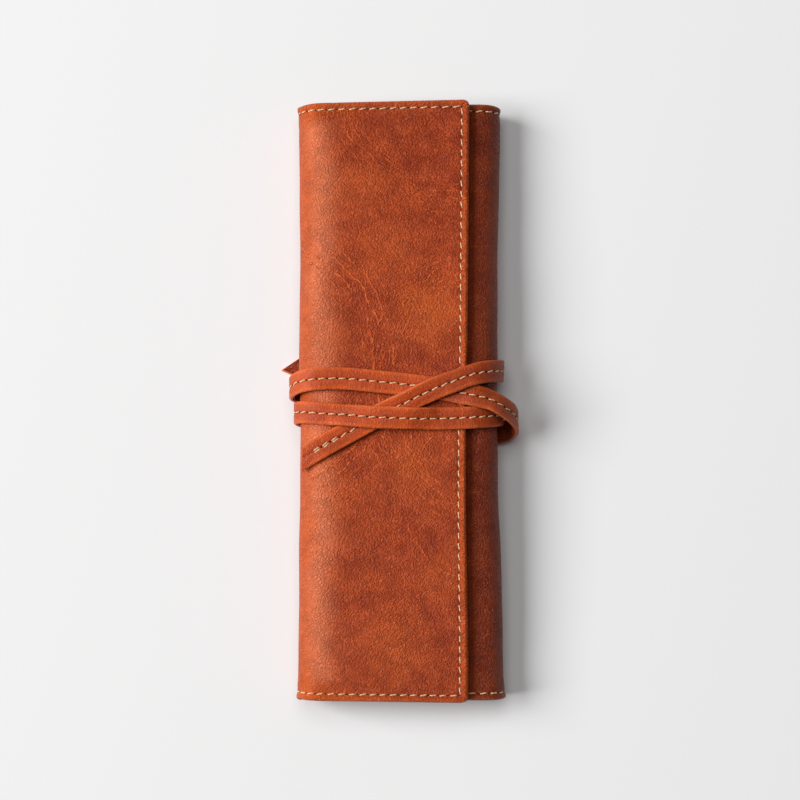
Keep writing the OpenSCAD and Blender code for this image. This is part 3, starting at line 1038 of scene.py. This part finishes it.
# The strap's route, as the frame has it. Each row is a station round the case, the place along
# the case in strap widths, the lift off the case in strap layers, and the lean, where 1 tips the
# upper edge up by one layer. A whole turn is four stations: up the left fold (0 to 1), across the
# top (1 to 2), down the right fold (2 to 3) and back underneath (3 to 4).
STRAP_ROUTE = np.array([
    (0.86, -2.55, -0.6, 0), (1, -2, 0, 0), (1.13, -1.53, 0, 0), (1.3, -0.92, 0, 0),
    (1.44, -0.42, 0.35, 0.7), (1.56, -0.05, 0.72, 1.2), (1.68, 0.32, 1.05, 0.8),
    (1.79, 0.63, 1.1, 0), (1.91, 0.91, 0.87, -0.7), (2, 1.12, 0.57, -1),
    (2.15, 1.31, 0.25, -0.4), (2.35, 1.4, 0, 0), (2.5, 1.44, 0, 0), (2.75, 1.54, 0, 0),
    (3, 1.59, 0, 0), (3.25, 1.3, 0, 0), (3.5, 1, 0, 0), (3.75, 0.7, 0, 0), (4, 0.42, 0.05, 0),
    (4.25, 0.48, 0.3, 0), (4.5, 0.63, 0.75, 0), (4.75, 0.9, 0.4, 0), (5, 1.01, 0.1, 0),
    (5.17, 1, 0, 0), (5.35, 0.89, 0, 0), (5.54, 0.77, 0, 0), (5.7, 0.64, 0, 0),
    (5.85, 0.5, 0, 0), (5.95, 0.36, 0.15, -0.25), (6, 0.3, 0.3, -0.6), (6.17, 0.1, 0.7, -0.85),
    (6.25, -0.12, 1.45, -0.6), (6.375, -0.5, 2.2, 0), (6.5, -0.88, 2.5, 0),
    (6.7, -1.23, 2.1, 0), (6.84, -1.36, 1.4, 0), (6.93, -1.4, 1.05, 0), (7, -1.41, 1, 0),
    (7.25, -1.25, 1, 0), (7.5, -1.05, 1, 0), (7.75, -0.82, 1, 0), (8, -0.64, 0.85, 0),
    (8.25, -0.6, 0.2, 0), (8.5, -0.48, 0, 0), (8.75, -0.47, 0, 0), (9, -0.55, 0, 0),
    (9.07, -0.59, 0.33, -0.6), (9.14, -0.62, 0.65, -1), (9.25, -0.67, 1.05, -0.3),
    (9.37, -0.72, 1.18, 0.3), (9.48, -0.74, 1.15, 0.6), (9.6, -0.76, 1.05, 1.1),
    (9.7, -0.77, 0.6, 0.8), (9.8, -0.77, 0.1, 0), (9.95, -0.74, 0, 0), (10.1, -0.69, 0, 0),
    (10.25, -0.63, 0, 0), (10.5, -0.5, 0, 0), (10.75, -0.33, 0.15, 0), (10.9, -0.22, 0.6, 0),
    (11, -0.12, 1, 0), (11.25, 0.3, 1, 0), (11.5, 0.65, 1, 0), (11.75, 1.02, 1, 0),
    (12, 1.4, 1, 0), (12.12, 1.62, 1, 0), (12.22, 1.9, 1, 0),
])
LAST_TURN = 12
LAYER_GAP = 0.3
STRAP_GAP = 0.67
CUT_SLOPE = 0.68
CUT_FADE = 8.0


def station(s):
    """Point (x, z) on the case that a station stands for, and the outward normal there."""
    c = shape
    leave_x = c.flap_edge_x + c.crease_gap
    top_span, under_span = leave_x - c.left_x, c.right_x - c.left_x
    if s < 1:
        return c.left_x - (1 - s) * top_span, c.top_z, 0.0, 1.0
    if s > LAST_TURN:
        return c.left_x - (s - LAST_TURN) * under_span, c.under_z, 0.0, -1.0
    q = s % 4
    if q < 1:
        a = math.radians(270 - 180 * q)
        return (c.left_x + c.left_r * math.cos(a), c.under_z + c.left_r * (1 + math.sin(a)),
                math.cos(a), math.sin(a))
    if q < 2:
        return c.left_x + (q - 1) * top_span, c.top_z, 0.0, 1.0
    if q < 2.5:
        a = math.radians(90 - 180 * (q - 2))
        wide, high = c.half_width - leave_x, 2 * c.left_r - c.right_r
        n = Vector((math.cos(a) / wide, math.sin(a) / high)).normalized()
        return (leave_x + wide * math.cos(a), c.under_z + c.right_r + high * math.sin(a),
                n.x, n.y)
    if q < 3:
        a = math.radians(90 - 180 * (q - 2))
        return (c.right_x + c.right_r * math.cos(a), c.under_z + c.right_r * (1 + math.sin(a)),
                math.cos(a), math.sin(a))
    return c.right_x - (q - 3) * under_span, c.under_z, 0.0, -1.0


def strap_frames(steps=12):
    """Middle, heading, width direction and outward direction of each ring, and the run so far."""
    strap = bpy.context.scene.case_strap
    width, thick = strap.width / MM, strap.thickness / MM
    layer = thick + LAYER_GAP
    count = len(STRAP_ROUTE)
    rows = []
    for k in range((count - 1) * steps + 1):
        i = min(k // steps, count - 2)
        t = k / steps - i
        a, b, c, d = (STRAP_ROUTE[min(max(j, 0), count - 1)] for j in (i - 1, i, i + 1, i + 2))
        rows.append(b + t / 2 * ((c - a) + t * ((2 * a - 5 * b + 4 * c - d)
                                                + t * (3 * b - 3 * c + d - a))))
    middles, normals, leans = [], [], []
    for s, y, lift, lean in rows:
        x, z, nx, nz = station(s)
        if nz <= -1:
            lift = min(1.0, lift)
        height = STRAP_GAP - 0.3 * max(0.0, nz) + lift * layer + thick / 2
        middles.append((x + nx * height, y * width, z + nz * height))
        normals.append((nx, 0.0, nz))
        leans.append(lean * math.asin(layer / width))
    middles, normals, leans = np.array(middles), np.array(normals), np.array(leans)
    heading = np.empty_like(middles)
    heading[1:-1] = middles[2:] - middles[:-2]
    heading[0], heading[-1] = middles[1] - middles[0], middles[-1] - middles[-2]
    heading /= np.linalg.norm(heading, axis=1)[:, None]
    across = np.cross(normals, heading)
    across /= np.linalg.norm(across, axis=1)[:, None]
    out = np.cross(heading, across)
    cos, sin = np.cos(leans)[:, None], np.sin(leans)[:, None]
    across, out = across * cos + out * sin, out * cos - across * sin
    run = np.concatenate([[0], np.cumsum(np.linalg.norm(np.diff(middles, axis=0), axis=1))])
    return middles, heading, across, out, run


def strap_sweep(name, section, finish, frames, wear):
    """Sweeps a section of (across, up) points along the strap, with both ends cut on the slant."""
    middles, heading, across, out, run = frames
    section = np.array(section)
    thick = bpy.context.scene.case_strap.thickness / MM
    slant = CUT_SLOPE * (np.clip(1 - run / CUT_FADE, 0, 1)
                         - np.clip(1 - (run[-1] - run) / CUT_FADE, 0, 1))
    rings, n = len(run), len(section)
    w, h = section[:, 0], section[:, 1] - thick / 2
    points = (middles[:, None] + heading[:, None] * (slant[:, None] * w)[:, :, None]
              + across[:, None] * w[None, :, None] + out[:, None] * h[None, :, None])
    points = settled(points.reshape(-1, 3), "strap")
    # Painted shade: the strap darkens towards the right of the case, the side turned away from the
    # key lamp.
    shade = 0.3 * smooth((points[:, 0] + 2) / 38)
    faces = []
    for k in range(rings - 1):
        for j in range(n):
            a, b = k * n + j, k * n + (j + 1) % n
            faces.append((a, b, b + n, a + n))
    faces.append(tuple(range(n - 1, -1, -1)))
    faces.append(tuple((rings - 1) * n + j for j in range(n)))
    around = np.concatenate([[0], np.cumsum(np.linalg.norm(np.diff(section, axis=0), axis=1))])
    flat = np.stack([np.tile(around, rings), np.repeat(run, n), 0 * np.repeat(run, n)], axis=1)
    # The rounded rims take some of the painted sheen colour: partly rubbing, partly a painted
    # highlight.
    return new_object(name, points, faces, material(finish),
                      {"flat": flat * MM, "wear": np.tile(wear, rings), "shade": shade,
                       "sheen_and_rub": np.tile(0.4 * smooth((np.array(wear) - 0.7) / 0.25), rings)})


def strap_section():
    """Section of the strap's face: rounded edges, a low dome and a groove for the stitches."""
    strap = bpy.context.scene.case_strap
    half, top, base = strap.width / MM / 2, strap.thickness / MM, strap.backing / MM
    edge = (top - base * 0.55) / 2
    centre = top - edge
    points, wear = [], []
    for a in np.linspace(-90, 90, 9):
        r = math.radians(a)
        points.append((half - edge + edge * math.cos(r), centre + edge * math.sin(r)))
        # The rounded edges are lighter: rubbing, with a painted highlight.
        wear.append(0.95 if abs(a) < 50 else 0.75)
    for w in (half * 0.62, half * 0.42, half * 0.24, half * 0.15, half * 0.08, 0.0):
        dome = 0.16 * (1 - (w / half) ** 2)
        groove = 0.42 * math.exp(-(w / 0.5) ** 2)
        points.append((w, top + dome - groove - 0.16))
        wear.append(0.12 + 0.3 * (w / half) ** 2)
    mirrored = [(-w, h) for w, h in points[-2::-1]]
    return points + mirrored, wear + wear[-2::-1]


def ride_strap(piece, *nodes):
    """The strap slides as a whole on its body, in place of the frame's nodes."""
    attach(piece, "strap")
    if nodes:
        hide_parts(*nodes)
    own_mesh(piece)


class PENCILCASE_OT_strap(bpy.types.Operator):
    """Strap wound round the case"""
    bl_idname = "pencil_case.strap"
    bl_label = "Strap"

    def execute(self, context):
        frames = strap_frames()
        section, wear = strap_section()
        face = strap_sweep("strap_face_leather", section, "strap leather", frames, wear)
        ride_strap(face, "strap_face")
        strap = context.scene.case_strap
        half, base = strap.width / MM / 2 - 0.55, strap.backing / MM
        strip = [(-half, 0.0), (half, 0.0), (half, base * 0.7), (half - 0.2, base),
                 (0.2 - half, base), (-half, base * 0.7)]
        backing = strap_sweep("strap_backing_strip", strip, "pocket leather", frames, [0.1] * 6)
        ride_strap(backing, "strap_backing")
        path = settled(frames[0], "strap") * MM
        return {"FINISHED"}


# The strap's row of stitches: how far it stays from either end, and how many stitches at each
# end are doubled and set how far to either side.
ROW_START, ROW_END = 6.0, 3.5
DOUBLED, DOUBLED_SIDE = 3, 0.36


class PENCILCASE_OT_strap_thread(bpy.types.Operator):
    """Row of stitches along the middle of the strap"""
    bl_idname = "pencil_case.strap_thread"
    bl_label = "Strap stitching"

    def execute(self, context):
        middles, heading, across, out, run = strap_frames()
        settings = context.scene.case_stitch
        pitch = settings.pitch / MM
        top = context.scene.case_strap.thickness / MM / 2 - 0.36

        def frame_at(d, offset=0.0):
            k = min(int(np.searchsorted(run, d)), len(run) - 1)
            t = (run[k] - d) / max(run[k] - run[k - 1], 1e-6)
            def between(values):
                return values[k] * (1 - t) + values[k - 1] * t
            n, w, h = between(out), between(across), between(heading)
            return between(middles) + w * offset + n * top, h, w, n
        stitches, slits = [], []
        spots = np.arange(ROW_START, run[-1] - ROW_END, pitch)
        for i, d in enumerate(spots):
            doubled = min(i, len(spots) - 1 - i) < DOUBLED
            for offset in ((-DOUBLED_SIDE, DOUBLED_SIDE) if doubled else (0.0,)):
                origin, h, w, n = frame_at(d, offset)
                a, b = turned(h, w, settings.slant)
                stitches.append((origin, a, b, n))
            origin, h, w, n = frame_at(d + pitch / 2)
            a, b = turned(h, w, settings.slant + 0.6)
            slits.append((origin, a, b, n))
        # The slits are dark lenses: painted shade of the awl holes.
        for name, pattern, places, finish in (
                ("strap_stitches", model_stitch(), stitches, "cream thread"),
                ("strap_needle_slits", model_hole(), slits, "painted hole shade")):
            origins = settled(np.array([p[0] for p in places]), "strap")
            places = [(o, *p[1:]) for o, p in zip(origins, places)]
            piece = placed_copies(name, pattern, places, finish, 0.05)
            ride_strap(piece, *(["strap_thread"] if name == "strap_stitches" else []))
        return {"FINISHED"}


# ---------------- the stage

def aim(thing, target):
    direction = Vector(target) - thing.location
    thing.rotation_euler = direction.to_track_quat("-Z", "Y").to_euler()


def soft_lamp(name, power, turn, height, spread, glossy=True):
    """Large square lamp aimed at the case: turn and height in degrees, spread as a share of how
    far away it is."""
    settings = bpy.context.scene.case_stage
    data = bpy.data.lights.new(name, "AREA")
    data.shape = "SQUARE"
    data.size = spread * settings.lamp_distance
    data.energy = power
    lamp = bpy.data.objects.new(name, data)
    turn, height = math.radians(turn), math.radians(height)
    lamp.location = settings.lamp_distance * Vector((
        math.cos(turn) * math.cos(height), math.sin(turn) * math.cos(height), math.sin(height)))
    aim(lamp, (0, 0, 0))
    lamp.visible_glossy = glossy
    bpy.context.scene.collection.objects.link(lamp)


def soft_room(strength):
    """Dim pale walls all round."""
    world = bpy.data.worlds.new("soft room")
    world.use_nodes = True
    background = world.node_tree.nodes["Background"]
    background.inputs["Color"].default_value = (1, 1, 1, 1)
    background.inputs["Strength"].default_value = strength
    return world


class PENCILCASE_OT_stage(bpy.types.Operator):
    """Camera, lamps, floor and view settings"""
    bl_idname = "pencil_case.stage"
    bl_label = "Stage"

    def execute(self, context):
        settings = context.scene.case_stage
        scene = context.scene
        flap_z = shape.top_z * MM
        camera = bpy.data.objects.new("camera", bpy.data.cameras.new("camera"))
        scene.collection.objects.link(camera)
        aside, near = settings.camera_place
        camera.location = (aside, near, flap_z + settings.camera_distance)
        camera.data.sensor_width = 36
        camera.data.lens = 36 * settings.camera_distance / settings.view_width
        camera.data.shift_x = (settings.view_middle[0] - aside) / settings.view_width
        camera.data.shift_y = (settings.view_middle[1] - near) / settings.view_width
        scene.camera = camera

        floor_mesh = bpy.data.meshes.new("floor")
        side = 3.0
        floor_mesh.from_pydata([(-side, -side, 0), (side, -side, 0), (side, side, 0),
                                (-side, side, 0)], [], [(0, 1, 2, 3)])
        floor_mesh.materials.append(matt_floor("pale floor", settings.floor))
        floor = bpy.data.objects.new("floor", floor_mesh)
        scene.collection.objects.link(floor)

        soft_lamp("key", settings.key_power, 174, 40, 0.6)
        soft_lamp("overhead", settings.overhead_power, 98, 71, 0.6, glossy=False)
        scene.world = soft_room(settings.fill)
        scene.view_settings.view_transform = "Standard"
        return {"FINISHED"}


class PENCILCASE_PT_panel(bpy.types.Panel):
    """Pieces and settings of the pencil case"""
    bl_idname = "PENCILCASE_PT_panel"
    bl_label = "Pencil Case"
    bl_space_type = "VIEW_3D"
    bl_region_type = "UI"
    bl_category = "Pencil Case"

    def draw(self, context):
        for operator in OPERATORS:
            self.layout.operator(operator.bl_idname)
        for name in GROUPS:
            group = getattr(context.scene, name)
            box = self.layout.box()
            for key in group.bl_rna.properties.keys():
                if key not in {"rna_type", "name"}:
                    box.prop(group, key)


OPERATORS = (
    PENCILCASE_OT_stage,
    PENCILCASE_OT_outer_leather,
    PENCILCASE_OT_lining,
    PENCILCASE_OT_pocket,
    PENCILCASE_OT_pocket_thread,
    PENCILCASE_OT_case_thread,
    PENCILCASE_OT_strap,
    PENCILCASE_OT_strap_thread,
)
GROUPS = {
    "case_leather": LeatherSettings,
    "case_stitch": StitchSettings,
    "case_strap": StrapSettings,
    "case_stage": StageSettings,
}


def register():
    for group in GROUPS.values():
        bpy.utils.register_class(group)
    for name, group in GROUPS.items():
        setattr(bpy.types.Scene, name, PointerProperty(type=group))
    for operator in OPERATORS:
        bpy.utils.register_class(operator)
    bpy.utils.register_class(PENCILCASE_PT_panel)


def unregister():
    bpy.utils.unregister_class(PENCILCASE_PT_panel)
    for operator in reversed(OPERATORS):
        bpy.utils.unregister_class(operator)
    for name, group in GROUPS.items():
        delattr(bpy.types.Scene, name)
        bpy.utils.unregister_class(group)


def main():
    register()
    for operator in OPERATORS:
        category, name = operator.bl_idname.split(".")
        getattr(getattr(bpy.ops, category), name)()


if __name__ == "__main__":
    main()
